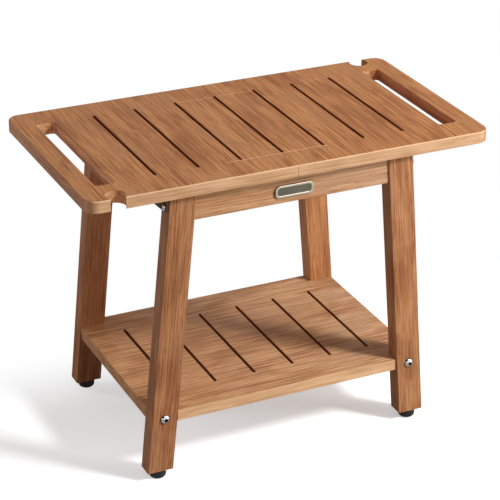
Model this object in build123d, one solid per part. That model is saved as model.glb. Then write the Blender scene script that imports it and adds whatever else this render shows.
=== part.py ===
from build123d import *
import os
from math import cos, radians, sin, sqrt, tan

# Shower bench, millimetres. Origin on the floor under the middle of the seat,
# +X along the seat, -Y towards the front, +Z up.

# Seat: two half boards that butt at the middle
seat_length = 610
seat_width = 326
seat_height = 454
seat_thickness = 18
seat_corner_radius = 18.5
seat_edge_round = 2
seat_under_round = 1
seat_seam_bevel = 0.4
seat_slot_pitch = 63
seat_slots_per_side = 3
seat_slot_length = 231
seat_slot_width = 5

# Hand holds cut through both ends of the seat, and a round notch at two corners
handle_bar_width = 29.6
handle_slot_width = 27.5
handle_slot_length = 232
handle_slot_corner = 5
handle_edge_round = 1
notch_diameter = 28.5
notch_centre_inset = 10.5
notch_mouth_width = 22

# Legs: flat bars that splay outwards along the seat
leg_width = 39
leg_depth = 25
leg_splay = 5.13
leg_end_inset = 120.5
leg_side_inset = 10
leg_edge_round = 1.2
foot_height = 13.5

# Aprons between the legs
apron_height = 41
apron_thickness = 18
apron_setback = 2.5
apron_edge_round = 1

# Shelf, notched round the legs and set back a little from their outer faces
shelf_end_setback = 1.1
shelf_side_setback = 2.5
shelf_height = 106.5
shelf_thickness = 18
shelf_edge_round = 1.3
shelf_slot_count = 6
shelf_slot_pitch = 62
shelf_slot_length = 199
shelf_slot_width = 5
shelf_leg_gap = 0.4

# Shelf bolts, one through each leg into a cross nut in the shelf
shelf_bolt_diameter = 6
shelf_bolt_length = 50
shelf_bolt_head_diameter = 14
shelf_bolt_head_height = 4.8
shelf_bolt_socket = 5
shelf_bolt_socket_depth = 3
bolt_hole_gap = 0.25
bolt_head_rim = 0.5
cross_nut_diameter = 10
cross_nut_length = 14
cross_nut_bevel = 0.6
bolt_tip_past_nut = 1.5

# Corner brackets under the seat, on the outer face of each leg
bracket_leg_reach = 26
bracket_seat_reach = 28
bracket_inboard = 12
bracket_outboard = 8.5
bracket_corner_round = 8.5
bracket_steel = 2
bracket_bend_radius = 2
bracket_bolt_drop = 18.5
bracket_bolt_diameter = 6
bracket_bolt_length = 22
bracket_bolt_head_diameter = 13
bracket_bolt_head_height = 4.4
bracket_bolt_socket = 4
bracket_bolt_socket_depth = 2.4
bracket_insert_diameter = 9
bracket_insert_length = 15
bracket_screw_offsets = (10, 21)

# Small angle brackets that tie both seat halves to the aprons
tie_leg = 22
tie_width = 18
tie_from_middle = 24
tie_screw_reach = 14

# Wood screws for both kinds of bracket
screw_diameter = 4
screw_length = 14
screw_head_diameter = 7.5
screw_head_height = 2.2
screw_head_rim = 0.6
screw_tip_length = 4
screw_tip_diameter = 0.8
screw_hole_gap = 0.25

# Dowels
dowel_diameter = 8
dowel_length = 30
dowel_end_gap = 1
dowel_bevel = 0.8
apron_dowel_spacing = 21
seat_dowel_spacing = 24

# Levelling feet
pad_diameter = 24.5
pad_sole_round = 5
pad_top_round = 1
stud_diameter = 8
stud_head_diameter = 15
stud_head_height = 3
stud_head_lift = 5
insert_diameter = 12
insert_length = 16
insert_flange_diameter = 17
insert_flange = 1.5
foot_travel = 8

# Plate on the front apron, with a bare field inside a raised rim
plate_length = 58
plate_height = 18
plate_thickness = 2.8
plate_corner = 6.5
plate_rim = 3.2
plate_field_depth = 0.9
plate_rim_round = 0.7
plate_pin_diameter = 2
plate_pin_length = 6
plate_pin_spacing = 36
plate_drop = 2.5

# Fits
press_gap = 0.02
running_gap = 0.05
hole_end_gap = 0.5

# Places worked out from the sizes above
seat_under = seat_height - seat_thickness
leg_top_x = seat_length / 2 - leg_end_inset
leg_face_y = seat_width / 2 - leg_side_inset
leg_back_y = leg_face_y - leg_depth
leg_mid_y = leg_face_y - leg_depth / 2
slope = tan(radians(leg_splay))
apron_face_y = leg_face_y - apron_setback
apron_back_y = apron_face_y - apron_thickness
apron_mid_y = apron_face_y - apron_thickness / 2
apron_bottom = seat_under - apron_height
shelf_under = shelf_height - shelf_thickness
shelf_mid_z = shelf_height - shelf_thickness / 2
cross_nut_depth = shelf_bolt_length - bolt_tip_past_nut - cross_nut_diameter / 2 - leg_depth
handle_centre_x = seat_length / 2 - handle_bar_width - handle_slot_width / 2
corners = {"front_left": (-1, -1), "front_right": (1, -1),
           "back_left": (-1, 1), "back_right": (1, 1)}


def leg_outer_x(z):
    return leg_top_x + slope * (seat_under - z)


def leg_inner_x(z):
    return leg_outer_x(z) - leg_width


def leg_centre_x(z):
    return leg_outer_x(z) - leg_width / 2


def at_corner(shape, side_x, side_y):
    """Bring a shape made at the back right corner to another corner."""
    if side_x < 0 and side_y < 0:
        return Rot(0, 0, 180) * shape
    if side_x < 0:
        return mirror(shape, about=Plane.YZ)
    if side_y < 0:
        return mirror(shape, about=Plane.XZ)
    return shape


def rod(start, direction, diameter, length):
    """Solid round bar from a start point along a direction."""
    place = Plane(origin=start, z_dir=direction)
    return extrude(place * Circle(diameter / 2), amount=length)


def edges_at_height(shape, z):
    return [e for e in shape.edges()
            if max(abs(e.position_at(t).Z - z) for t in (0, 0.5, 1)) < 0.001]


def side_profile(points, y_face, depth):
    """Outline in X and Z, given thickness from y_face towards the middle."""
    face = Plane.XZ.offset(-y_face) * Polygon(*points, align=None)
    return extrude(face, amount=depth, dir=(0, -1, 0))


def group(solids):
    return Compound(children=[s for shape in solids for s in shape.solids()])


# Bracket frame: it runs down the splayed outer face of the back right leg
bracket_corner = Vector(leg_top_x, leg_mid_y, seat_under)
bracket_down = Vector(sin(radians(leg_splay)), 0, -cos(radians(leg_splay)))
bracket_out = Vector(cos(radians(leg_splay)), 0, sin(radians(leg_splay)))
bracket_bolt_point = bracket_corner + bracket_down * bracket_bolt_drop
shelf_length = 2 * (leg_outer_x(shelf_height) - shelf_end_setback)
shelf_width = 2 * (leg_face_y - shelf_side_setback)
bracket_screw_x = [leg_top_x + offset for offset in bracket_screw_offsets]
tie_screw_z = seat_under - tie_screw_reach
tie_seat_screw_y = apron_back_y - tie_screw_reach
stud_length = insert_length + foot_travel
apron_dowel_z = [apron_bottom + apron_height / 2 + side * apron_dowel_spacing / 2 for side in (-1, 1)]
seat_dowel_y = [(seat_width + seat_slot_length) / 4 + side * seat_dowel_spacing / 2 for side in (-1, 1)]


def seat_cut(outline, extra=1):
    """Cutter for a cut-out that goes right through the seat."""
    return extrude(Pos(0, 0, seat_under - extra) * outline, amount=seat_thickness + 2 * extra)


def notch_outline():
    """Round notch with its centre inside the seat and a straight mouth narrower than the round."""
    centre = Pos(handle_centre_x, seat_width / 2 - notch_centre_inset)
    mouth = Rectangle(notch_mouth_width, 2 * notch_centre_inset, align=(Align.CENTER, Align.MIN))
    return centre * (Circle(notch_diameter / 2) + mouth)


def make_seat_half():
    """Right half of the seat, with its hand hold, its drain slots and the notch at the back."""
    outline = Pos(seat_length / 4, 0) * Rectangle(seat_length / 2, seat_width)
    outline = fillet(outline.vertices().group_by(Axis.X)[-1], seat_corner_radius)
    board = extrude(Pos(0, 0, seat_under) * outline, amount=seat_thickness)
    for level, radius in ((seat_height, seat_edge_round), (seat_under, seat_under_round)):
        rims = [e for e in edges_at_height(board, level) if e.center().X > 0.01]
        board = fillet(rims, radius)
    board = chamfer([e for e in board.edges() if abs(e.center().X) < 0.001], seat_seam_bevel)
    board -= seat_cut(notch_outline())
    hand_hold = RectangleRounded(handle_slot_width, handle_slot_length, handle_slot_corner)
    board -= seat_cut(Pos(handle_centre_x, 0) * hand_hold)
    handle_rims = [e for level in (seat_height, seat_under) for e in edges_at_height(board, level)
                   if abs(e.center().X - handle_centre_x) < handle_slot_width / 2 + 0.01
                   and abs(e.center().Y) < handle_slot_length / 2 + 0.01]
    board = fillet(handle_rims, handle_edge_round)
    for i in range(seat_slots_per_side + 1):
        slot = SlotOverall(seat_slot_length, seat_slot_width, rotation=90)
        board -= seat_cut(Pos(i * seat_slot_pitch, 0) * slot)
    for y in seat_dowel_y:
        for side in (-1, 1):
            start = (0, side * y, seat_under + seat_thickness / 2)
            depth = dowel_length / 2 + dowel_end_gap
            board -= rod(start, (1, 0, 0), dowel_diameter + 2 * press_gap, depth)
    pilot = screw_diameter + 2 * press_gap
    depth = screw_length - bracket_steel + hole_end_gap
    for side in (-1, 1):
        for x in bracket_screw_x:
            board -= rod((x, side * leg_mid_y, seat_under), (0, 0, 1), pilot, depth)
        board -= rod((tie_from_middle, side * tie_seat_screw_y, seat_under), (0, 0, 1), pilot, depth)
    return board


def make_leg():
    points = [(leg_inner_x(foot_height), foot_height), (leg_outer_x(foot_height), foot_height),
              (leg_outer_x(seat_under), seat_under), (leg_inner_x(seat_under), seat_under)]
    leg = side_profile(points, leg_face_y, leg_depth)
    leg = fillet(leg.edges().sort_by(SortBy.LENGTH)[-4:], leg_edge_round)
    bolt_x = leg_centre_x(shelf_mid_z)
    shelf_hole = shelf_bolt_diameter + 2 * bolt_hole_gap
    leg -= rod((bolt_x, leg_face_y, shelf_mid_z), (0, -1, 0), shelf_hole, leg_depth)
    insert_hole = bracket_insert_diameter + 2 * press_gap
    bolt_hole = bracket_bolt_diameter + 2 * bolt_hole_gap
    leg -= rod(bracket_bolt_point, bracket_out * -1, insert_hole, bracket_insert_length)
    leg -= rod(bracket_bolt_point, bracket_out * -1, bolt_hole, bracket_bolt_length)
    for z in apron_dowel_z:
        start = (leg_inner_x(z) - dowel_length / 2, apron_mid_y, z)
        leg -= rod(start, (1, 0, 0), dowel_diameter + 2 * press_gap, dowel_length + dowel_end_gap)
    foot_x = leg_centre_x(foot_height)
    start = (foot_x, leg_mid_y, foot_height)
    leg -= rod(start, (0, 0, 1), insert_diameter + 2 * press_gap, insert_length)
    leg -= rod(start, (0, 0, 1), insert_flange_diameter + 2 * press_gap, insert_flange)
    leg -= rod(start, (0, 0, 1), stud_diameter + 2 * bolt_hole_gap, stud_length + hole_end_gap)
    return leg


def make_apron():
    """Back apron, cut at both ends to the splay of the legs."""
    points = [(-leg_inner_x(apron_bottom), apron_bottom), (leg_inner_x(apron_bottom), apron_bottom),
              (leg_inner_x(seat_under), seat_under), (-leg_inner_x(seat_under), seat_under)]
    apron = side_profile(points, apron_face_y, apron_thickness)
    lower = apron.edges().filter_by(Axis.X).group_by(Axis.Z)[0]
    apron = fillet(lower, apron_edge_round)
    for side in (-1, 1):
        for z in apron_dowel_z:
            start = (side * (leg_inner_x(z) + dowel_length / 2), apron_mid_y, z)
            apron -= rod(start, (-side, 0, 0), dowel_diameter + 2 * press_gap, dowel_length + dowel_end_gap)
        start = (side * tie_from_middle, apron_back_y, tie_screw_z)
        depth = screw_length - bracket_steel + hole_end_gap
        apron -= rod(start, (0, 1, 0), screw_diameter + 2 * press_gap, depth)
    return apron


def make_shelf():
    board = Rectangle(shelf_length, shelf_width)
    notch_x = leg_inner_x(shelf_height) - shelf_leg_gap
    notch_y = leg_back_y
    for side_x, side_y in corners.values():
        notch = Rectangle(shelf_length, shelf_width, align=(Align.MIN, Align.MIN))
        board -= at_corner(Pos(notch_x, notch_y) * notch, side_x, side_y)
    for i in range(shelf_slot_count):
        x = (i - (shelf_slot_count - 1) / 2) * shelf_slot_pitch
        board -= Pos(x, 0) * SlotOverall(shelf_slot_length, shelf_slot_width, rotation=90)
    shelf = extrude(Pos(0, 0, shelf_under) * board, amount=shelf_thickness)
    level = edges_at_height(shelf, shelf_height) + edges_at_height(shelf, shelf_under)
    on_side = [e for e in level if abs(abs(e.center().Y) - shelf_width / 2) < 0.01]
    on_end = [e for e in level if abs(abs(e.center().X) - shelf_length / 2) < 0.01]
    shelf = fillet(on_side + on_end, shelf_edge_round)
    bolt_x = leg_centre_x(shelf_mid_z)
    bolt_reach = shelf_bolt_length - leg_depth
    for side_x, side_y in corners.values():
        start = (side_x * bolt_x, side_y * leg_back_y, shelf_mid_z)
        hole = shelf_bolt_diameter + 2 * bolt_hole_gap
        shelf -= rod(start, (0, -side_y, 0), hole, bolt_reach + hole_end_gap)
        nut_foot = (side_x * bolt_x, side_y * (leg_back_y - cross_nut_depth), shelf_under)
        nut_hole = (shelf_thickness + cross_nut_length) / 2
        shelf -= rod(nut_foot, (0, 0, 1), cross_nut_diameter + 2 * press_gap, nut_hole)
    return shelf


def dome_head(diameter, height, rim):
    """Domed screw head that sits on the XY plane, a ball cap over a short rim."""
    cap = height - rim
    ball = (diameter**2 / 4 + cap**2) / (2 * cap)
    crown = (diameter / 4, height - ball + sqrt(ball**2 - diameter**2 / 16))
    with BuildPart() as head:
        with BuildSketch(Plane.XZ):
            with BuildLine():
                Polyline((0, height), (0, 0), (diameter / 2, 0), (diameter / 2, rim))
                ThreePointArc((diameter / 2, rim), crown, (0, height))
            make_face()
        revolve(axis=Axis.Z)
    return head.part


def button_bolt(diameter, length, head_diameter, head_height, socket, socket_depth):
    """Dome head bolt along -Z with its seat at the origin and a hexagon socket."""
    head = dome_head(head_diameter, head_height, bolt_head_rim)
    hexagon = RegularPolygon(socket / 2, 6, major_radius=False)
    head -= extrude(Pos(0, 0, head_height - socket_depth) * hexagon, amount=head_height)
    return head + rod((0, 0, 0), (0, 0, -1), diameter, length)


def pan_screw():
    """Pan head wood screw along -Z with its seat at the origin and a tapered tip."""
    head = dome_head(screw_head_diameter, screw_head_height, screw_head_rim)
    shank = rod((0, 0, 0), (0, 0, -1), screw_diameter, screw_length - screw_tip_length)
    tip = Cone(screw_tip_diameter / 2, screw_diameter / 2, screw_tip_length)
    return head + shank + Pos(0, 0, screw_tip_length / 2 - screw_length) * tip


def make_shelf_bolt():
    bolt = button_bolt(shelf_bolt_diameter, shelf_bolt_length, shelf_bolt_head_diameter,
                       shelf_bolt_head_height, shelf_bolt_socket, shelf_bolt_socket_depth)
    place = Plane(origin=(leg_centre_x(shelf_mid_z), leg_face_y, shelf_mid_z),
                  x_dir=(1, 0, 0), z_dir=(0, 1, 0))
    return place.location * bolt


def make_cross_nut():
    x = leg_centre_x(shelf_mid_z)
    y = leg_back_y - cross_nut_depth
    nut = rod((x, y, shelf_mid_z - cross_nut_length / 2), (0, 0, 1), cross_nut_diameter, cross_nut_length)
    nut = chamfer(nut.edges(), cross_nut_bevel)
    across = (x, y + cross_nut_diameter, shelf_mid_z)
    return nut - rod(across, (0, -1, 0), shelf_bolt_diameter + 2 * press_gap, 2 * cross_nut_diameter)


def make_bracket():
    """Bent steel bracket with a web on its inboard edge."""
    seat_end = bracket_corner + Vector(bracket_seat_reach, 0, 0)
    leg_end = bracket_corner + bracket_down * bracket_leg_reach
    y_outer = leg_mid_y + bracket_outboard
    bracket_width = bracket_inboard + bracket_outboard
    seat_end_in = seat_end - Vector(0, 0, bracket_steel)
    leg_end_in = leg_end + bracket_out * bracket_steel
    half_angle = radians(90 - leg_splay) / 2
    inner = bracket_corner + (bracket_down + Vector(1, 0, 0)).normalized() * (bracket_steel / sin(half_angle))
    ring = [bracket_corner, seat_end, seat_end_in, inner, leg_end_in, leg_end]
    bent = side_profile([(p.X, p.Z) for p in ring], y_outer, bracket_width)
    inner_edge = [e for e in bent.edges().filter_by(Axis.Y)
                  if abs(e.center().X - inner.X) < 0.01 and abs(e.center().Z - inner.Z) < 0.01]
    bent = fillet(inner_edge, bracket_bend_radius)
    free_corners = [e for e in bent.edges() if abs(e.length - bracket_steel) < 0.01
                    and abs(e.center().Y - y_outer) < 0.01]
    bent = fillet(free_corners, bracket_corner_round)
    web_ring = [inner, seat_end_in, leg_end_in]
    web = side_profile([(p.X, p.Z) for p in web_ring], y_outer - bracket_width + bracket_steel, bracket_steel)
    bracket = bent + web
    hole = bracket_bolt_diameter + 2 * bolt_hole_gap
    bracket -= rod(bracket_bolt_point, bracket_out, hole, bracket_steel * 2)
    for x in bracket_screw_x:
        hole = screw_diameter + 2 * screw_hole_gap
        bracket -= rod((x, leg_mid_y, seat_under), (0, 0, -1), hole, bracket_steel)
    return bracket


def make_bracket_bolt():
    bolt = button_bolt(bracket_bolt_diameter, bracket_bolt_length, bracket_bolt_head_diameter,
                       bracket_bolt_head_height, bracket_bolt_socket, bracket_bolt_socket_depth)
    seat = bracket_bolt_point + bracket_out * bracket_steel
    return Plane(origin=seat, x_dir=(0, 1, 0), z_dir=bracket_out).location * bolt


def make_bracket_insert():
    outer = rod(bracket_bolt_point, bracket_out * -1, bracket_insert_diameter, bracket_insert_length)
    bore = bracket_bolt_diameter + 2 * press_gap
    return outer - rod(bracket_bolt_point, bracket_out * -1, bore, bracket_insert_length)


def make_bracket_screws():
    for_seat = []
    for x in bracket_screw_x:
        place = Plane(origin=(x, leg_mid_y, seat_under - bracket_steel),
                      x_dir=(1, 0, 0), z_dir=(0, 0, -1))
        for_seat.append(place.location * pan_screw())
    return for_seat


def make_tie():
    """Small angle bracket behind the right end of the seam, on the back apron."""
    corner = Vector(0, apron_back_y, seat_under)
    ring = [(corner.Y, corner.Z), (corner.Y - tie_leg, corner.Z),
            (corner.Y - tie_leg, corner.Z - bracket_steel),
            (corner.Y - bracket_steel, corner.Z - bracket_steel),
            (corner.Y - bracket_steel, corner.Z - tie_leg), (corner.Y, corner.Z - tie_leg)]
    face = Plane.YZ.offset(tie_from_middle - tie_width / 2) * Polygon(*ring, align=None)
    tie = extrude(face, amount=tie_width)
    inner_edge = [e for e in tie.edges().filter_by(Axis.X)
                  if abs(e.center().Y - ring[3][0]) < 0.01 and abs(e.center().Z - ring[3][1]) < 0.01]
    tie = fillet(inner_edge, bracket_bend_radius)
    hole = screw_diameter + 2 * screw_hole_gap
    tie -= rod((tie_from_middle, tie_seat_screw_y, seat_under), (0, 0, -1), hole, bracket_steel)
    tie -= rod((tie_from_middle, apron_back_y, tie_screw_z), (0, -1, 0), hole, bracket_steel)
    return tie


def make_tie_screws():
    up = Plane(origin=(tie_from_middle, tie_seat_screw_y, seat_under - bracket_steel),
               x_dir=(1, 0, 0), z_dir=(0, 0, -1))
    level = Plane(origin=(tie_from_middle, apron_back_y - bracket_steel, tie_screw_z),
                  x_dir=(1, 0, 0), z_dir=(0, -1, 0))
    return [up.location * pan_screw(), level.location * pan_screw()]


def make_dowel(centre, direction):
    start = Vector(*centre) - Vector(*direction) * (dowel_length / 2)
    dowel = rod(start, direction, dowel_diameter, dowel_length)
    return chamfer(dowel.edges().filter_by(GeomType.CIRCLE), dowel_bevel)


def make_insert():
    """Flanged threaded insert in the bottom of a leg, shown with a plain bore."""
    start = (leg_centre_x(foot_height), leg_mid_y, foot_height)
    body = rod(start, (0, 0, 1), insert_diameter, insert_length)
    body += rod(start, (0, 0, 1), insert_flange_diameter, insert_flange)
    return body - rod(start, (0, 0, 1), stud_diameter + 2 * running_gap, insert_length)


def make_stud():
    """Foot stud: threaded shank with a round head held inside the pad."""
    x = leg_centre_x(foot_height)
    head = rod((x, leg_mid_y, stud_head_lift), (0, 0, 1), stud_head_diameter, stud_head_height)
    shank_foot = stud_head_lift + stud_head_height
    shank_length = foot_height - shank_foot + stud_length
    return head + rod((x, leg_mid_y, shank_foot), (0, 0, 1), stud_diameter, shank_length)


def make_pad():
    """Moulded foot with a rounded sole, closed round the head of its stud."""
    x = leg_centre_x(foot_height)
    pad = rod((x, leg_mid_y, 0), (0, 0, 1), pad_diameter, foot_height)
    rims = pad.edges().filter_by(GeomType.CIRCLE).sort_by(Axis.Z)
    pad = fillet(rims[0], pad_sole_round)
    pad = fillet(pad.edges().filter_by(GeomType.CIRCLE).sort_by(Axis.Z)[-1], pad_top_round)
    pad -= rod((x, leg_mid_y, stud_head_lift - press_gap), (0, 0, 1), stud_head_diameter + 2 * press_gap,
               stud_head_height + 2 * press_gap)
    return pad - rod((x, leg_mid_y, stud_head_lift), (0, 0, 1), stud_diameter + 2 * press_gap, foot_height)


def plate_pin_places():
    plate_z = apron_bottom + apron_height / 2 - plate_drop
    return plate_z, (-plate_pin_spacing / 2, plate_pin_spacing / 2)


def make_plate():
    plate_z, pin_x = plate_pin_places()
    base = Plane(origin=(0, -apron_face_y, plate_z), x_dir=(1, 0, 0), z_dir=(0, -1, 0))
    plate = extrude(base * RectangleRounded(plate_length, plate_height, plate_corner), amount=plate_thickness)
    face = base.offset(plate_thickness - plate_field_depth)
    field = RectangleRounded(plate_length - 2 * plate_rim, plate_height - 2 * plate_rim,
                             plate_corner - plate_rim / 2)
    plate -= extrude(face * field, amount=plate_thickness)
    front = [e for e in plate.edges() if abs(e.center().Y + apron_face_y + plate_thickness) < 0.01]
    plate = fillet(front, plate_rim_round)
    for x in pin_x:
        plate += rod((x, -apron_face_y, plate_z), (0, 1, 0), plate_pin_diameter, plate_pin_length)
    return plate


def drill_for_plate(apron):
    plate_z, pin_x = plate_pin_places()
    for x in pin_x:
        apron -= rod((x, -apron_face_y, plate_z), (0, 1, 0), plate_pin_diameter + 2 * press_gap,
                     plate_pin_length + hole_end_gap)
    return apron


def make_nodes():
    nodes = {}
    half = make_seat_half()
    nodes["seat_board_right"] = half
    nodes["seat_board_left"] = Rot(0, 0, 180) * half
    seat_mid_z = seat_under + seat_thickness / 2
    nodes["seat_dowels"] = group([make_dowel((0, side * y, seat_mid_z), (1, 0, 0))
                                  for y in seat_dowel_y for side in (-1, 1)])
    apron = make_apron()
    nodes["apron_back"] = apron
    nodes["apron_front"] = drill_for_plate(mirror(apron, about=Plane.XZ))
    nodes["nameplate"] = make_plate()
    nodes["shelf_board"] = make_shelf()

    leg = make_leg()
    bracket = make_bracket()
    tie = make_tie()
    stud = make_stud()
    pad = make_pad()
    for name, (side_x, side_y) in corners.items():
        nodes[f"leg_{name}"] = at_corner(leg, side_x, side_y)
        nodes[f"leg_bracket_{name}"] = at_corner(bracket, side_x, side_y)
        nodes[f"seam_bracket_{name}"] = at_corner(tie, side_x, side_y)
        nodes[f"foot_stud_{name}"] = at_corner(stud, side_x, side_y)
        nodes[f"foot_pad_{name}"] = at_corner(pad, side_x, side_y)

    apron_dowels = [make_dowel((leg_inner_x(z), apron_mid_y, z), (1, 0, 0)) for z in apron_dowel_z]
    repeated = {
        "shelf_bolts": [make_shelf_bolt()],
        "shelf_cross_nuts": [make_cross_nut()],
        "bracket_bolts": [make_bracket_bolt()],
        "bracket_inserts": [make_bracket_insert()],
        "bracket_screws": make_bracket_screws(),
        "seam_bracket_screws": make_tie_screws(),
        "foot_inserts": [make_insert()],
        "apron_dowels": apron_dowels,
    }
    for name, shapes in repeated.items():
        nodes[name] = group([at_corner(shape, *sides) for sides in corners.values() for shape in shapes])
    return nodes


os.makedirs("parts", exist_ok=True)
for node_name, node_shape in make_nodes().items():
    export_step(node_shape, f"parts/{node_name}.step")
    print(node_name, len(node_shape.solids()), round(node_shape.volume, 1))
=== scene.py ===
import math

import bmesh
import bpy
from mathutils import Matrix, Vector

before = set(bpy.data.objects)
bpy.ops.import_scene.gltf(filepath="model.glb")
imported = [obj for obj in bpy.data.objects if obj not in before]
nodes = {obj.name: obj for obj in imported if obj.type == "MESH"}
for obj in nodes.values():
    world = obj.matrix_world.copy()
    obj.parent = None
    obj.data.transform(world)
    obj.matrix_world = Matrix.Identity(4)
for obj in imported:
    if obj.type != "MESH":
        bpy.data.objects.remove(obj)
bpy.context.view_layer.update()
print("frame loaded,", len(nodes), "nodes")


class Wire:  # one output socket, so that maths on it reads as plain Python
    def __init__(self, paint, socket):
        self.paint = paint
        self.socket = socket

    def __add__(self, other):
        return self.paint.maths("ADD", self, other)

    def __radd__(self, other):
        return self.paint.maths("ADD", other, self)

    def __sub__(self, other):
        return self.paint.maths("SUBTRACT", self, other)

    def __rsub__(self, other):
        return self.paint.maths("SUBTRACT", other, self)

    def __mul__(self, other):
        return self.paint.maths("MULTIPLY", self, other)

    def __rmul__(self, other):
        return self.paint.maths("MULTIPLY", other, self)

    def __abs__(self):
        return self.paint.maths("ABSOLUTE", self)


class Paint:  # the nodes of one material, or of the world
    def __init__(self, owner):
        owner.use_nodes = True
        self.owner = owner
        self.tree = owner.node_tree
        self.tree.nodes.clear()

    def node(self, kind, settings=None, values=None, out=0):
        made = self.tree.nodes.new(kind)
        for key, value in (settings or {}).items():
            setattr(made, key, value)
        for key, value in (values or {}).items():
            if isinstance(value, Wire):
                self.tree.links.new(value.socket, made.inputs[key])
            else:
                made.inputs[key].default_value = value
        return Wire(self, made.outputs[out]) if made.outputs else None

    def maths(self, operation, *values):
        return self.node("ShaderNodeMath", {"operation": operation}, dict(enumerate(values)))

    def vector(self, operation, *values, out=0):
        return self.node("ShaderNodeVectorMath", {"operation": operation},
                         dict(enumerate(values)), out)

    def place(self):
        return self.node("ShaderNodeTexCoord", out="Object")

    def mapped(self, place, shift=(0, 0, 0), turn=(0, 0, 0), stretch=(1, 1, 1)):
        return self.node("ShaderNodeMapping", {"vector_type": "POINT"},
                         {"Vector": place, "Location": shift, "Rotation": turn, "Scale": stretch})

    def axis(self, place, which):
        return self.node("ShaderNodeSeparateXYZ", {}, {"Vector": place}, which)

    def noise(self, place, scale=1.0, detail=2.0, rough=0.5, twist=0.0, **mapping):
        if mapping:
            place = self.mapped(place, **mapping)
        return self.node("ShaderNodeTexNoise", {"noise_dimensions": "3D"},
                         {"Vector": place, "Scale": scale, "Detail": detail, "Roughness": rough,
                          "Distortion": twist})

    def band(self, value, low, high):  # 0 below low, 1 above high, smooth between
        return self.node("ShaderNodeMapRange", {"interpolation_type": "SMOOTHSTEP"},
                         {"Value": value, "From Min": low, "From Max": high})

    def within(self, value, rise, fall):  # 1 between the two, 0 outside them
        return self.band(value, *rise) * (1 - self.band(value, *fall))

    def mix(self, amount, first, second, how="MIX"):
        return self.node("ShaderNodeMix", {"data_type": "RGBA", "blend_type": how},
                         {0: amount, 6: first, 7: second}, 2)

    def tinted(self, colour, tint, amount=None):
        made = self.mix(1.0, colour, tint, "MULTIPLY")
        return made if amount is None else self.mix(amount, colour, made)

    def bump(self, height, strength, distance):
        return self.node("ShaderNodeBump", {},
                         {"Height": height, "Strength": strength, "Distance": distance})

    def close(self, shader, kind="ShaderNodeOutputMaterial"):
        self.node(kind, {}, {"Surface": shader})
        return self.owner

    def finish(self, values):
        return self.close(self.node("ShaderNodeBsdfPrincipled", {}, values))


def newPaint(name):
    return Paint(bpy.data.materials.new(name))


def grey(value):
    return (value, value, value, 1.0)


def tone(red, green, blue):  # a colour as the eye reads it, 0 to 255, made linear
    def straight(v):
        v /= 255
        return v / 12.92 if v <= 0.04045 else ((v + 0.055) / 1.055) ** 2.4
    return (straight(red), straight(green), straight(blue), 1.0)


wood = {
    "light": tone(206, 150, 100),
    "middle": tone(182, 125, 80),
    "dark": tone(146, 92, 54),
    "red": tone(166, 104, 66),
    "yellow": tone(190, 136, 84),
    "grey": tone(146, 100, 72),
    "pore": tone(104, 60, 34),
    # pale edge colours: partly the cut edge's own colour, partly painted sheen
    "edgeWithSheen": tone(211, 168, 130),
    "edgeDarkWithSheen": tone(183, 139, 100),
    "shelfEdgeWithSheen": tone(221, 178, 136),
    "shelfEdgeDarkWithSheen": tone(196, 150, 108),
    # painted highlight on the front top arris
    "arrisHighlight": tone(246, 215, 178),
    # colour of the painted highlight lines on the seat's top
    "highlightLine": tone(228, 190, 152),
    # soft dark patches on the shelf, the strongest of them painted shade
    "shelfPatchAndShade": tone(150, 100, 70),
    # painted shade on the walls of the drain slots
    "slot": tone(122, 54, 22),
    "roughness": 0.44,
    "roughnessAdded": 0.16,  # where the grain stands high
    "roughnessRise": (0.1, 0.8),
    "bump": (0.12, 0.0006),  # strength and distance
    "refraction": 1.45,
    "tintTurn": (-0.22, 0.22),  # along X, where the left tint turns to the right one
    "mottleFade": (0.2, 1.3),  # in reaches of a soft patch
    "slotShadeRise": (0.0002, 0.0006),  # above a board's underside, where the painted shade on the slots' walls starts
    "slotShadeAmount": 0.85,
}

grainLook = {  # patterns that run along X, then their weights and where each colour starts
    "streaks": {"stretch": (5, 300, 300), "detail": 4.0, "rough": 0.62, "twist": 0.2},
    "fibres": {"stretch": (13, 680, 680), "rough": 0.6, "twist": 0.1},
    "mottles": {"stretch": (9, 22, 22), "shift": (3.1, 1.7, 0.4), "twist": 0.7},
    "hues": {"stretch": (4, 110, 110), "shift": (0.7, 4.1, 2.2), "detail": 3.0, "twist": 0.3},
    "uneven": {"stretch": (7, 34, 34), "shift": (5.3, 0.2, 1.9), "detail": 1.0},
    "pores": {"stretch": (50, 900, 900), "detail": 1.0},
    "streakWeight": 0.85,
    "fibreWeight": 2.4,
    "mottleWeight": 1.5,
    "quiet": 0.7,  # the streaks' least strength
    "lively": 0.9,  # and what is added to it in places
    "livelyRise": (0.35, 0.65),
    "poreRise": (0.58, 0.70),
    "middleRise": (0.12, 0.58),
    "lightRise": (0.42, 0.92),
    "redRise": (0.48, 0.70),
    "yellowFall": (0.30, 0.50),
    "hueAmount": 0.45,
    "greyRise": (0.50, 0.76),
    "greyAmount": 0.5,
    "poreAmount": 0.4,
    "streakHeight": 0.5,
    "fibreHeight": 0.4,
    "poreDepth": 0.5,
}


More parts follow.
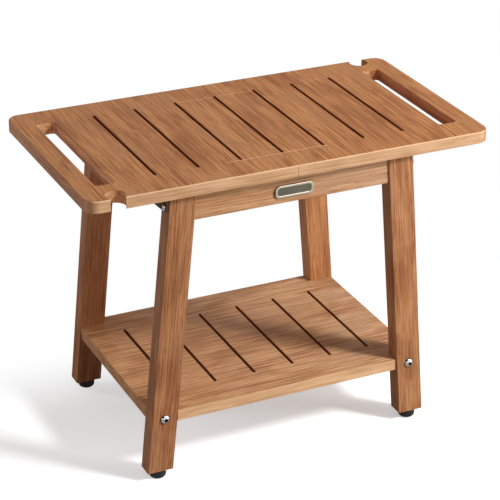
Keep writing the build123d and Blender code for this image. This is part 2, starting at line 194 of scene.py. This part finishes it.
def grain(paint, along, contrast):  # colour and height of plain wood; 0.5 is a noise's middle
    look = grainLook
    streaks, fibres, mottles, hues, uneven, pores = (
        paint.noise(along, **look[name])
        for name in ("streaks", "fibres", "mottles", "hues", "uneven", "pores"))
    strength = paint.band(uneven, *look["livelyRise"]) * look["lively"] + look["quiet"]
    value = (streaks - 0.5) * strength * look["streakWeight"]
    value = value + (fibres - 0.5) * look["fibreWeight"] + (mottles - 0.5) * look["mottleWeight"]
    value = 0.5 + value * contrast
    pores = paint.band(pores, *look["poreRise"])
    colour = paint.mix(paint.band(value, *look["middleRise"]), wood["dark"], wood["middle"])
    colour = paint.mix(paint.band(value, *look["lightRise"]), colour, wood["light"])
    colour = paint.mix(paint.band(hues, *look["redRise"]) * look["hueAmount"], colour, wood["red"])
    yellow = (1 - paint.band(hues, *look["yellowFall"])) * look["hueAmount"]
    colour = paint.mix(yellow, colour, wood["yellow"])
    patches = paint.band(mottles, *look["greyRise"]) * look["greyAmount"]
    colour = paint.mix(patches, colour, wood["grey"])
    colour = paint.mix(pores * look["poreAmount"], colour, wood["pore"])
    height = streaks * look["streakHeight"] + fibres * look["fibreHeight"]
    return colour, height - pores * look["poreDepth"]


def board(name, tints, shift, contrast, gloss, turn, marks):
    paint = newPaint(name)
    colour, height = grain(paint, paint.mapped(paint.place(), shift, turn), contrast)
    tint = (*tints[0], 1.0)
    if len(tints) > 1:
        across = paint.band(paint.axis(paint.place(), "X"), *wood["tintTurn"])
        tint = paint.mix(across, tint, (*tints[1], 1.0))
    colour = paint.tinted(colour, tint)
    if marks:
        colour = marks(paint, colour)
    rough = paint.band(height, *wood["roughnessRise"]) * wood["roughnessAdded"] + wood["roughness"]
    return paint.finish({"Base Color": colour, "Roughness": rough, "IOR": wood["refraction"],
                         "Specular IOR Level": gloss, "Normal": paint.bump(height, *wood["bump"])})


def fromTop(piece, name):  # the heights of a pair of depths below the piece's top face
    return tuple(piece["top"] - down for down in piece[name])


def rimDepth(paint, here, piece):  # how far outside the outline, below 0 inside it
    (halfLength, halfWidth), corner = piece["half"], piece["corner"]
    folded = paint.vector("ABSOLUTE", here)
    inner = (halfLength - corner, halfWidth - corner, 1.0)  # 1 m leaves the height out of it
    beyond = paint.vector("SUBTRACT", folded, inner)
    beyond = paint.vector("MAXIMUM", beyond, (0.0, 0.0, 0.0))
    return paint.vector("LENGTH", beyond, out="Value") - corner


def mottled(paint, colour, here, mottles, shade):
    for atX, atY, reachX, reachY, strength in mottles:
        spread = paint.mapped(here, shift=(-atX / reachX, -atY / reachY, 0),
                              stretch=(1 / reachX, 1 / reachY, 0))
        away = paint.vector("LENGTH", spread, out="Value")
        colour = paint.mix((1 - paint.band(away, *wood["mottleFade"])) * strength, colour, shade)
    return colour


edges = {
    "lines": {"stretch": (7, 7, 330), "detail": 3.0, "rough": 0.6, "twist": 0.2},
    "soft": {"stretch": (16, 16, 90)},
    "lineShare": 0.6,
    "softShare": 0.4,
    "lightRise": (0.38, 0.60),
}


def sheenEdgeColour(paint, dark, light):  # pale edge with long fine lines, partly the cut edge's own colour and partly painted sheen
    lines = paint.noise(paint.place(), **edges["lines"])
    soft = paint.noise(paint.place(), **edges["soft"])
    figure = lines * edges["lineShare"] + soft * edges["softShare"]
    return paint.mix(paint.band(figure, *edges["lightRise"]), wood[dark], wood[light])


def slotPaintedShade(paint, colour, piece, x, y, z):
    # painted shade on the walls of the drain slots
    start = tuple(piece["under"] + up for up in wood["slotShadeRise"])
    walls = paint.within(z, start, fromTop(piece, "slotBelow"))
    for way, limits in ((x, "slotsX"), (y, "slotsY")):
        walls = walls * (1 - paint.band(abs(way), *piece[limits]))
    return paint.mix(walls * wood["slotShadeAmount"], colour, wood["slot"])


seat = {  # a pair is where a mark starts and where it is full, or the other way round
    "half": (0.305, 0.163),  # half the length and half the width
    "corner": 0.0185,
    "top": 0.454,
    "under": 0.436,
    "highlightLines": (  # painted highlight lines across the grain: y, from x, to x, strength
        (-0.1165, -0.088, 0.070, 0.55),
        (0.1118, -0.066, 0.064, 0.40),
        (0.1140, -0.275, -0.245, 0.3),
        (0.1140, 0.155, 0.188, 0.3),
    ),
    "lineWidth": (0.0004, 0.0015),  # to each side of its middle
    "lineEnd": 0.006,  # length in which it fades out
    "mottles": (  # soft dark patches: x, y, reach along x and y, strength
        (0.034, 0.072, 0.022, 0.036, 0.34),
        (0.040, -0.035, 0.030, 0.045, 0.20),
        (-0.170, -0.040, 0.026, 0.050, 0.24),
        (-0.135, 0.105, 0.016, 0.030, 0.22),
        (0.165, -0.100, 0.018, 0.032, 0.20),
        (-0.235, 0.095, 0.030, 0.020, 0.20),
    ),
    "wallBelow": (0.0016, 0.0004),  # this and the other heights are below the top
    "leftEnd": (-0.3047, -0.3040),
    "openingsFrom": (0.240, 0.245),  # the hand holds and notches, from the middle of the seat
    "openingsTo": (0.285, 0.290),
    # painted light on the left end face and the walls of the left openings, painted shade on the
    # walls of the right openings
    "leftEndPaintedLight": (1.02, 1.10, 1.45, 1.0),
    "leftWallPaintedLight": (1.5, 1.75, 2.3, 1.0),
    "rightWallPaintedShade": (0.96, 0.86, 0.98, 1.0),
    "edgeBelow": (0.0022, 0.0006),
    "edgeDepth": (-0.0016, -0.0002),  # from the outline, inwards
    "edgeFrom": (0.1604, 0.1614),  # front and back edge alone, pale with painted sheen
    "wallFrom": (0.2460, 0.2465),  # pale walls inside the openings: painted light
    "wallTo": (0.2765, 0.2770),
    "holdEndFrom": (0.110, 0.113),
    "holdEndTo": (0.118, 0.119),
    "notchTo": (-0.1380, -0.1375),
    "leftSide": (0.2, 0.21),
    "rightSide": (0.0, 0.1),
    "openingMiddle": 0.2617,  # only the left half of an opening, the half that faces the lamps, is pale: painted light
    "middleFade": 0.0005,
    # where the painted highlight on the top arris lies
    "arrisFrom": (0.0024, 0.0016),
    "arrisTo": (0.0009, 0.0003),
    "arrisDepth": (-0.0022, -0.0014),
    "arrisFront": (-0.160, -0.157),  # the painted highlight on the front arris alone
    "arrisAmount": 0.55,
    "slotsX": (0.20, 0.21),
    "slotsY": (0.118, 0.120),
    "slotBelow": (0.0014, 0.0002),
}


def seatMarks(paint, colour):
    here = paint.place()
    x, y, z = (paint.axis(here, way) for way in "XYZ")
    colour = mottled(paint, colour, here, seat["mottles"], wood["grey"])
    # painted highlight lines across the top
    for atY, fromX, toX, strength in seat["highlightLines"]:
        line = 1 - paint.band(abs(y - atY), *seat["lineWidth"])
        starts, stops = (fromX, fromX + seat["lineEnd"]), (toX - seat["lineEnd"], toX)
        line = line * paint.within(x, starts, stops)
        colour = paint.mix(line * strength, colour, wood["highlightLine"])

    walls = 1 - paint.band(z, *fromTop(seat, "wallBelow"))
    leftEnd = (1 - paint.band(x, *seat["leftEnd"])) * walls
    leftWalls = walls * paint.band(x * -1, *seat["openingsFrom"]) * (1 - leftEnd)
    rightWalls = walls * paint.within(x, seat["openingsFrom"], seat["openingsTo"])
    # painted light on the left end and left opening walls, painted shade on the right opening
    # walls
    colour = paint.tinted(colour, seat["leftEndPaintedLight"], leftEnd)
    colour = paint.tinted(colour, seat["leftWallPaintedLight"], leftWalls)
    colour = paint.tinted(colour, seat["rightWallPaintedShade"], rightWalls)

    depth = rimDepth(paint, here, seat)
    outer = paint.band(depth, *seat["edgeDepth"]) * paint.band(abs(y), *seat["edgeFrom"])
    opening = paint.within(abs(x), seat["wallFrom"], seat["wallTo"])
    holdEnd = opening * paint.within(y, seat["holdEndFrom"], seat["holdEndTo"])
    leftNotch = opening * (1 - paint.band(y, *seat["notchTo"]))
    leftNotch = leftNotch * paint.band(x * -1, *seat["leftSide"])
    middle, fade = seat["openingMiddle"], seat["middleFade"]
    # painted light: the halves of the openings that face the lamps
    lit = (1 - paint.band(x, -middle - fade, -middle + fade)
           + paint.within(x, seat["rightSide"], (middle - fade, middle + fade)))
    # pale colour: on the front and back edges partly the cut edge's own and partly painted sheen,
    # on the openings painted light
    paleWithSheen = paint.maths("MAXIMUM", outer, paint.maths("MAXIMUM", holdEnd, leftNotch) * lit)
    paleWithSheen = paleWithSheen * (1 - paint.band(z, *fromTop(seat, "edgeBelow")))
    colour = paint.mix(paleWithSheen, colour, sheenEdgeColour(paint, "edgeDarkWithSheen", "edgeWithSheen"))

    # painted highlight along the front top arris
    arrisHighlight = paint.within(z, fromTop(seat, "arrisFrom"), fromTop(seat, "arrisTo"))
    arrisHighlight = arrisHighlight * paint.band(depth, *seat["arrisDepth"])
    arrisHighlight = arrisHighlight * (1 - paint.band(y, *seat["arrisFront"]))
    colour = paint.mix(arrisHighlight * seat["arrisAmount"], colour, wood["arrisHighlight"])
    return slotPaintedShade(paint, colour, seat, x, y, z)


shelf = {  # pairs as for the seat
    "half": (0.213, 0.1505),
    "corner": 0.001,
    "top": 0.1065,
    "under": 0.0885,
    "mottles": (
        # the first and strongest patch is painted shade, deepening the shadow on the shelf
        (0.070, 0.020, 0.075, 0.060, 0.42),
        (-0.085, -0.030, 0.050, 0.040, 0.24),
        (0.010, 0.085, 0.080, 0.030, 0.22),
        (-0.160, 0.070, 0.050, 0.040, 0.20),
    ),
    "edgeBelow": (0.0016, 0.0004),
    "edgeDepth": (-0.0013, -0.0002),
    "edgeFrom": (0.149, 0.1498),
    "slotsX": (0.165, 0.17),
    "slotsY": (0.102, 0.104),
    "slotBelow": (0.0014, 0.0002),
}


def shelfMarks(paint, colour):
    here = paint.place()
    x, y, z = (paint.axis(here, way) for way in "XYZ")
    colour = mottled(paint, colour, here, shelf["mottles"], wood["shelfPatchAndShade"])
    depth = rimDepth(paint, here, shelf)
    # pale front and back edges: partly the cut edge's own colour, partly painted sheen
    paleWithSheen = paint.band(depth, *shelf["edgeDepth"]) * paint.band(abs(y), *shelf["edgeFrom"])
    paleWithSheen = paleWithSheen * (1 - paint.band(z, *fromTop(shelf, "edgeBelow")))
    colour = paint.mix(paleWithSheen, colour, sheenEdgeColour(paint, "shelfEdgeDarkWithSheen", "shelfEdgeWithSheen"))
    return slotPaintedShade(paint, colour, shelf, x, y, z)


def dress(name, material):
    for slot in nodes[name].material_slots:
        slot.material = material


quarter = math.pi / 2
splay = math.atan(0.0898)  # the lean of the legs
boards = {  # tint, or one for each end along X, then shift of the grain, its contrast, gloss
    "seat_board_left": (((0.95, 0.89, 0.82), (1.04, 0.99, 0.91)), (0.3, 0.7, 0.2), 1.1, 0.12),
    "seat_board_right": (((1.04, 0.99, 0.91), (1.01, 0.93, 0.82)), (1.9, 1.2, 0.5), 1.1, 0.12),
    # the shelf: a paler base tone, with painted sheen growing towards +X
    "shelf_board": (((1.04, 1.13, 1.26), (1.21, 1.48, 1.90)), (0.9, 2.2, 0.1), 1.1, 0.15),
    # the front apron: its pale tint, growing towards +X, is painted sheen
    "apron_front": (((1.05, 1.22, 1.44), (1.14, 1.44, 1.88)), (2.9, 0.2, 0.6), 0.6, 0.2),
    "apron_back": (((1, 1, 1),), (4.9, 1.2, 0.3), 0.9, 0.2),
    "leg_front_left": (((0.80, 0.74, 0.75),), (0.4, 0.1, 0.3), 1.1, 0.3),
    "leg_front_right": (((0.90, 0.88, 0.92),), (0.8, 1.9, 0.3), 0.8, 0.25),
    "leg_back_left": (((0.74, 0.63, 0.58),), (1.2, 2.7, 0.3), 1.0, 0.3),
    "leg_back_right": (((0.93, 0.87, 0.83),), (1.6, 3.6, 0.3), 1.0, 0.3),
    "seat_dowels": (((1.3, 1.4, 1.6),), (0.1, 0.2, 0.3), 0.6, 0.3),
    "apron_dowels": (((1.3, 1.4, 1.6),), (0.6, 0.2, 0.3), 0.6, 0.3),
}
for name, row in boards.items():
    turn, marks = (0, 0, 0), None  # the turn lays the grain along the piece
    if name.startswith("seat_board"):
        turn, marks = (0, 0, quarter), seatMarks
    elif name.startswith("leg"):
        turn = (0, quarter + (splay if name.endswith("right") else -splay), 0)
    elif name == "shelf_board":
        marks = shelfMarks
    dress(name, board(name + "_wood", *row, turn, marks))
print("wood done")


chrome = {
    "bright": tone(222, 220, 220),
    "dull": tone(196, 194, 194),
    "dark": tone(52, 38, 34),  # painted shade in the socket and round the head's rim
    "spotScale": 900,
    "dullRise": (0.3, 0.8),
    "roughness": 0.07,
    "roughnessAdded": 0.08,
    "bump": (0.05, 0.0002),
    "socketFade": 0.0003,
    "rimFade": (0.0009, 0.0002),
}
bolts = {  # middle of a head, turn that lays its axis along Z, half the width of socket and head
    "shelf_bolts": ((0.1954, 0.153, 0.0975), (quarter, 0, 0), 0.0026, 0.0070),
    "bracket_bolts": ((0.18573, 0.1405, 0.41754), (0, splay - quarter, 0), 0.0021, 0.0065),
}


def chromeFinish(name):
    paint = newPaint(name + "_chrome")
    middle, turn, socket, half = bolts[name]
    folded = paint.vector("SUBTRACT", paint.vector("ABSOLUTE", paint.place()), middle)
    flat = paint.vector("MULTIPLY", paint.mapped(folded, turn=turn), (1.0, 1.0, 0.0))
    away = paint.vector("LENGTH", flat, out="Value")
    spots = paint.noise(paint.place(), chrome["spotScale"])
    dull = paint.band(spots, *chrome["dullRise"])
    colour = paint.mix(dull, chrome["bright"], chrome["dull"])
    # painted shade in the socket and round the rim of the head
    socketShade = 1 - paint.band(away, socket, socket + chrome["socketFade"])
    colour = paint.mix(socketShade, colour, chrome["dark"])
    rim = paint.band(away, *(half - inward for inward in chrome["rimFade"]))
    colour = paint.mix(rim, colour, chrome["dark"])
    return paint.finish({"Base Color": colour, "Metallic": 1.0,
                         "Roughness": dull * chrome["roughnessAdded"] + chrome["roughness"],
                         "Normal": paint.bump(spots, *chrome["bump"])})


finishes = {
    "zincPlate": {
        "tones": (tone(178, 178, 174), tone(150, 150, 146)),
        "secondRise": (0.35, 0.7),
        "spots": {"scale": 420, "detail": 3.0},
        "metallic": 1.0,
        "roughness": 0.3,
        "roughnessAdded": 0.2,
        "roughnessRise": (0.3, 0.8),
        "bump": (0.1, 0.0002),
    },
    "brownCoat": {
        "tones": (tone(150, 118, 92), tone(132, 102, 78)),
        "secondRise": (0.3, 0.8),
        "spots": {"scale": 1400},
        "metallic": 0.0,
        "roughness": 0.42,
        "roughnessAdded": 0.15,
        "roughnessRise": (0.2, 0.8),
        "bump": (0.3, 0.0002),
    },
    "footRubber": {
        "tones": (tone(17, 16, 17), tone(30, 29, 28)),
        "secondRise": (0.45, 0.8),
        "spots": {"scale": 260, "detail": 3.0},
        "metallic": 0.0,
        "roughness": 0.5,
        "roughnessAdded": 0.12,
        "roughnessRise": (0.2, 0.8),
        "bump": (0.2, 0.0003),
    },
}


def spottedFinish(name):
    paint = newPaint(name)
    look = finishes[name]
    spots = paint.noise(paint.place(), **look["spots"])
    colour = paint.mix(paint.band(spots, *look["secondRise"]), *look["tones"])
    rough = paint.band(spots, *look["roughnessRise"]) * look["roughnessAdded"] + look["roughness"]
    return paint.finish({"Base Color": colour, "Metallic": look["metallic"], "Roughness": rough,
                         "Normal": paint.bump(spots, *look["bump"])})


plate = {
    "rim": (tone(208, 198, 180), tone(186, 176, 154)),
    "field": (tone(100, 97, 82), tone(80, 77, 62)),
    # painted shade on the plate's sides
    "side": tone(58, 44, 34),
    "brushed": (40, 900, 900),
    "secondRise": (0.3, 0.8),
    "middle": 0.413,  # the height of its middle
    "fieldX": (0.0256, 0.0259),  # limits of the recessed field, X and Z from its middle
    "fieldZ": (0.0056, 0.0059),
    "fieldY": (-0.1532, -0.1528),
    "sideY": (-0.1526, -0.1522),
    "metallic": 0.75,
    "metallicLost": 0.5,  # in the field
    "roughness": 0.38,
    "roughnessAdded": 0.15,
    "bump": (0.15, 0.0002),
}


def plateFinish():
    paint = newPaint("plateMetal")
    here = paint.place()
    x, y, z = (paint.axis(here, way) for way in "XYZ")
    brushed = paint.noise(here, stretch=plate["brushed"])
    inside = (1 - paint.band(abs(x), *plate["fieldX"])) * paint.band(y, *plate["fieldY"])
    inside = inside * (1 - paint.band(abs(z - plate["middle"]), *plate["fieldZ"]))
    # painted shade on the plate's sides
    side = paint.band(y, *plate["sideY"]) * (1 - inside)
    second = paint.band(brushed, *plate["secondRise"])
    colour = paint.mix(inside, paint.mix(second, *plate["rim"]),
                       paint.mix(second, *plate["field"]))
    return paint.finish({"Base Color": paint.mix(side, colour, plate["side"]),
                         "Metallic": plate["metallic"] - inside * plate["metallicLost"],
                         "Roughness": inside * plate["roughnessAdded"] + plate["roughness"],
                         "Normal": paint.bump(brushed, *plate["bump"])})


for name in bolts:
    dress(name, chromeFinish(name))
for name in ("shelf_cross_nuts", "bracket_inserts", "foot_inserts", "bracket_screws",
             "seam_bracket_screws"):
    dress(name, spottedFinish("zincPlate"))
for corner in ("front_left", "front_right", "back_left", "back_right"):
    dress("leg_bracket_" + corner, spottedFinish("brownCoat"))
    dress("seam_bracket_" + corner, spottedFinish("brownCoat"))
    dress("foot_stud_" + corner, spottedFinish("zincPlate"))
    dress("foot_pad_" + corner, spottedFinish("footRubber"))
dress("nameplate", plateFinish())
print("metal and rubber done")


studio = {
    "aim": (0.0, 0.0, 0.25),
    "floorReach": 6.0,
    "floorColour": 0.5,  # what lights the bench from below
    "floorShown": 0.85,  # what the camera sees, with the glow on top
    "floorGlow": 0.435,
    "whiteFrom": (0.9, 1.6),  # how far from the bench the floor turns plain white
    "shadowPaintedWhiteBehind": (0.05, 0.27),  # and how far behind its middle, where the floor paints white over the bench's shadow: painted light
    "cardFrom": (-1.9, -1.5, 2.2),
    "cardSize": 1.0,
    "cardColour": 0.01,
    "worldLevel": 0.22,
    "worldColour": (1.0, 0.92, 0.895, 1.0),
}


def towardsAim(start):
    return (Vector(studio["aim"]) - Vector(start)).to_track_quat("-Z", "Y")


def makeSheet(name, size, place, material):  # one square face
    sheet = bmesh.new()
    bmesh.ops.create_grid(sheet, x_segments=1, y_segments=1, size=size)
    bmesh.ops.transform(sheet, matrix=place, verts=sheet.verts)
    mesh = bpy.data.meshes.new(name)
    sheet.to_mesh(mesh)
    sheet.free()
    mesh.materials.append(material)
    made = bpy.data.objects.new(name, mesh)
    bpy.context.scene.collection.objects.link(made)
    return made


def makeFloor():
    paint = newPaint("paleFloor")
    here = paint.place()
    far = paint.band(paint.vector("LENGTH", here, out="Value"), *studio["whiteFrom"])
    # painted light: behind the bench the floor turns white over the shadow
    behind = paint.band(paint.axis(here, "Y"), *studio["shadowPaintedWhiteBehind"])
    far = paint.maths("MAXIMUM", far, behind)
    seen = paint.node("ShaderNodeLightPath", out="Is Camera Ray")
    matt = paint.node("ShaderNodeBsdfDiffuse", {}, {"Color": grey(studio["floorColour"])})
    glow, white = (paint.node("ShaderNodeEmission", {}, {"Color": grey(1.0), "Strength": strength})
                   for strength in (studio["floorGlow"], 1.0))  # a strength of 1 shows white
    shownMatt = paint.node("ShaderNodeBsdfDiffuse", {}, {"Color": grey(studio["floorShown"])})
    lifted = paint.node("ShaderNodeAddShader", {}, {0: shownMatt, 1: glow})
    near = paint.node("ShaderNodeMixShader", {}, {0: far, 1: lifted, 2: white})
    shown = paint.node("ShaderNodeMixShader", {}, {0: seen, 1: matt, 2: near})
    floor = makeSheet("floor", studio["floorReach"], Matrix(), paint.close(shown))


def makeCard():  # a dark card that only shiny metal sees
    paint = newPaint("darkCard")
    black = paint.node("ShaderNodeBsdfDiffuse", {}, {"Color": grey(studio["cardColour"])})
    turn = towardsAim(studio["cardFrom"]).to_matrix().to_4x4()
    place = Matrix.Translation(studio["cardFrom"]) @ turn
    card = makeSheet("darkCard", studio["cardSize"], place, paint.close(black))
    for kind in ("camera", "diffuse", "transmission", "volume_scatter", "shadow"):
        setattr(card, "visible_" + kind, False)


def makeWorld():
    paint = Paint(bpy.data.worlds.new("studio"))
    bpy.context.scene.world = paint.owner
    camera, glossy, through = (paint.node("ShaderNodeLightPath", out=f"Is {ray} Ray")
                               for ray in ("Camera", "Glossy", "Transmission"))
    sees = paint.maths("MAXIMUM", paint.maths("MAXIMUM", camera, glossy), through)
    fill = paint.node("ShaderNodeBackground", {},
                      {"Color": studio["worldColour"], "Strength": studio["worldLevel"]})
    white = paint.node("ShaderNodeBackground", {}, {"Color": grey(1.0), "Strength": 1.0})
    mixed = paint.node("ShaderNodeMixShader", {}, {0: sees, 1: fill, 2: white})
    paint.close(mixed, "ShaderNodeOutputWorld")


lamps = {  # where it stands, width, watts, colour
    "keyLamp": ((1.75, -1.85, 2.35), 0.60, 91.5, (1.0, 1.0, 1.0)),
    "lowLamp": ((2.3, -1.75, 0.75), 1.1, 35.0, (1.0, 1.0, 1.0)),
    "leftLamp": ((-2.2, 1.6, 1.15), 1.0, 21.0, (0.91, 0.98, 1.08)),
}


def makeLamp(name):
    start, size, power, colour = lamps[name]
    lamp = bpy.data.lights.new(name, "AREA")
    lamp.shape = "DISK"
    lamp.size = size
    lamp.energy = power
    lamp.color = colour
    holder = bpy.data.objects.new(name, lamp)
    bpy.context.scene.collection.objects.link(holder)
    holder.location = start
    holder.rotation_euler = towardsAim(start).to_euler()


view = {
    "stand": (-1.083625, -2.267172, 1.482238),
    "azimuth": 25.7047,  # degrees, from the back towards the right
    "down": 26.0731,
    "roll": 0.0112,  # radians
    "sensor": 36,
    "lens": 137.33,
    "shift": (-0.001, 0.001),  # half a pixel, because the fit counts from pixel middles
    "clipEnd": 50,
}


def makeCamera():
    camera = bpy.data.cameras.new("photoCamera")
    camera.sensor_width = view["sensor"]
    camera.lens = view["lens"]
    camera.clip_end = view["clipEnd"]
    camera.shift_x, camera.shift_y = view["shift"]
    holder = bpy.data.objects.new("photoCamera", camera)
    bpy.context.scene.collection.objects.link(holder)
    turn, down = math.radians(view["azimuth"]), math.radians(view["down"])
    ahead = Vector((math.sin(turn) * math.cos(down), math.cos(turn) * math.cos(down),
                    -math.sin(down)))
    right = ahead.cross(Vector((0, 0, 1))).normalized()
    up = right.cross(ahead)
    right, up = (math.cos(view["roll"]) * right + math.sin(view["roll"]) * up,
                 math.cos(view["roll"]) * up - math.sin(view["roll"]) * right)
    turned = Matrix((right, up, -ahead)).transposed().to_4x4()
    holder.matrix_world = Matrix.Translation(view["stand"]) @ turned
    bpy.context.scene.camera = holder


makeFloor()
makeCard()
makeWorld()
for name in lamps:
    makeLamp(name)
makeCamera()
bpy.context.scene.view_settings.view_transform = "Standard"
print("studio done")
